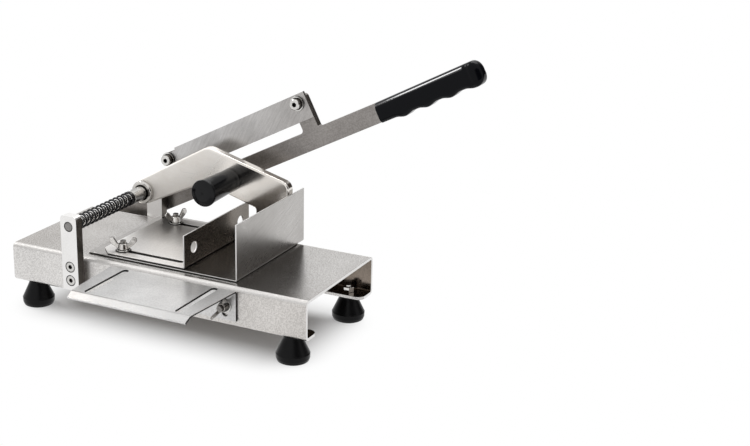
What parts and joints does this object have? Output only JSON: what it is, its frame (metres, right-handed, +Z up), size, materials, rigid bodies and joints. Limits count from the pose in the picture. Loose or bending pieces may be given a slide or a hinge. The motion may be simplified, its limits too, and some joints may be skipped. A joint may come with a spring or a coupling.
{
  "type": "frozen meat slicer",
  "caption": "Hand slicer for frozen meat: channel base on rubber feet, tray with sliding guide, sprung swinging pusher, front plate and a levered blade.",
  "frame": {"origin": "centre of the front left foot's flat sole, on the table", "axes": "+X along the base to the lever's grip, +Y from the front to the blade, +Z up"},
  "size_m": [0.449, 0.2598, 0.2755],
  "materials": {
    "brushed_steel": "satin stainless sheet and bar",
    "polished_steel": "polished",
    "dark_steel": "oiled spring and screw steel",
    "grip_plastic": "moulded, glossy black",
    "rubber": "matt black"
  },
  "bodies": {
    "base": {"base_channel": "brushed_steel", "foot_front_left": "rubber", "foot_front_right": "rubber", "foot_back_left": "rubber", "foot_back_right": "rubber", "foot_nut_front_left": "brushed_steel", "foot_nut_front_right": "brushed_steel", "foot_nut_back_left": "brushed_steel", "foot_nut_back_right": "brushed_steel", "front_post": "brushed_steel", "back_post": "brushed_steel", "front_post_screw_upper": "dark_steel", "front_post_screw_lower": "dark_steel", "back_post_screw_upper": "dark_steel", "back_post_screw_lower": "dark_steel", "slide_rod": "polished_steel", "meat_tray": "brushed_steel", "guide_stud_front": "brushed_steel", "guide_stud_back": "brushed_steel", "guide_washer_front": "brushed_steel", "guide_washer_back": "brushed_steel", "extension_stud_left": "brushed_steel", "extension_stud_right": "brushed_steel", "extension_washer_left": "brushed_steel", "extension_washer_right": "brushed_steel", "pivot_bolt": "brushed_steel", "pivot_spacer": "brushed_steel", "pivot_washer": "brushed_steel", "pivot_nut": "brushed_steel", "pusher_spring": "dark_steel"},
    "lever": {"lever_arm": "brushed_steel", "lever_grip": "grip_plastic", "blade": "polished_steel", "blade_bolt_left": "dark_steel", "blade_bolt_right": "dark_steel", "blade_washer_left": "brushed_steel", "blade_washer_right": "brushed_steel", "blade_shim_left": "dark_steel", "blade_shim_right": "dark_steel"},
    "slider": {"spring_washer": "brushed_steel"},
    "pusher": {"pusher_plate": "polished_steel", "pusher_sleeve": "polished_steel", "pusher_collar": "polished_steel", "pusher_handle": "grip_plastic", "pusher_handle_screw": "brushed_steel"},
    "guide": {"meat_guide": "brushed_steel"},
    "extension": {"extension_plate": "brushed_steel"},
    "guide_wing_nut_front": {"guide_wing_nut_front": "brushed_steel"},
    "guide_wing_nut_back": {"guide_wing_nut_back": "brushed_steel"},
    "extension_wing_nut_left": {"extension_wing_nut_left": "brushed_steel"},
    "extension_wing_nut_right": {"extension_wing_nut_right": "brushed_steel"}
  },
  "joints": [
    {"name": "lever_swing", "type": "hinge", "parent": "base", "child": "lever", "pos_m": [-0.0045, 0.1442, 0.0468], "axis": [0, -1, 0], "range_deg": [-30, 33]},
    {"name": "pusher_slide", "type": "slide", "parent": "base", "child": "slider", "axis": [0, -1, 0], "range_m": [0, 0.064], "stiffness_N_per_m": 150, "springref_m": -0.03, "deforming": ["pusher_spring"]},
    {"name": "pusher_lift", "type": "hinge", "parent": "slider", "child": "pusher", "pos_m": [0.0603, 0.1125, 0.1016], "axis": [0, -1, 0], "range_deg": [0, 95]},
    {"name": "guide_slide", "type": "slide", "parent": "base", "child": "guide", "axis": [-1, 0, 0], "range_m": [0, 0.065]},
    {"name": "extension_slide", "type": "slide", "parent": "base", "child": "extension", "axis": [0, 0, 1], "range_m": [0, 0.006]},
    {"name": "guide_wing_nut_front_turn", "type": "hinge", "parent": "base", "child": "guide_wing_nut_front", "pos_m": [0.099, 0.016, 0.0696], "axis": [0, 0, 1], "continuous": true},
    {"name": "guide_wing_nut_back_turn", "type": "hinge", "parent": "base", "child": "guide_wing_nut_back", "pos_m": [0.099, 0.1147, 0.0696], "axis": [0, 0, 1], "continuous": true},
    {"name": "extension_wing_nut_left_turn", "type": "hinge", "parent": "base", "child": "extension_wing_nut_left", "pos_m": [0.1177, -0.0125, 0.0488], "axis": [0, -1, 0], "continuous": true},
    {"name": "extension_wing_nut_right_turn", "type": "hinge", "parent": "base", "child": "extension_wing_nut_right", "pos_m": [0.2369, -0.0125, 0.0488], "axis": [0, -1, 0], "continuous": true}
  ]
}
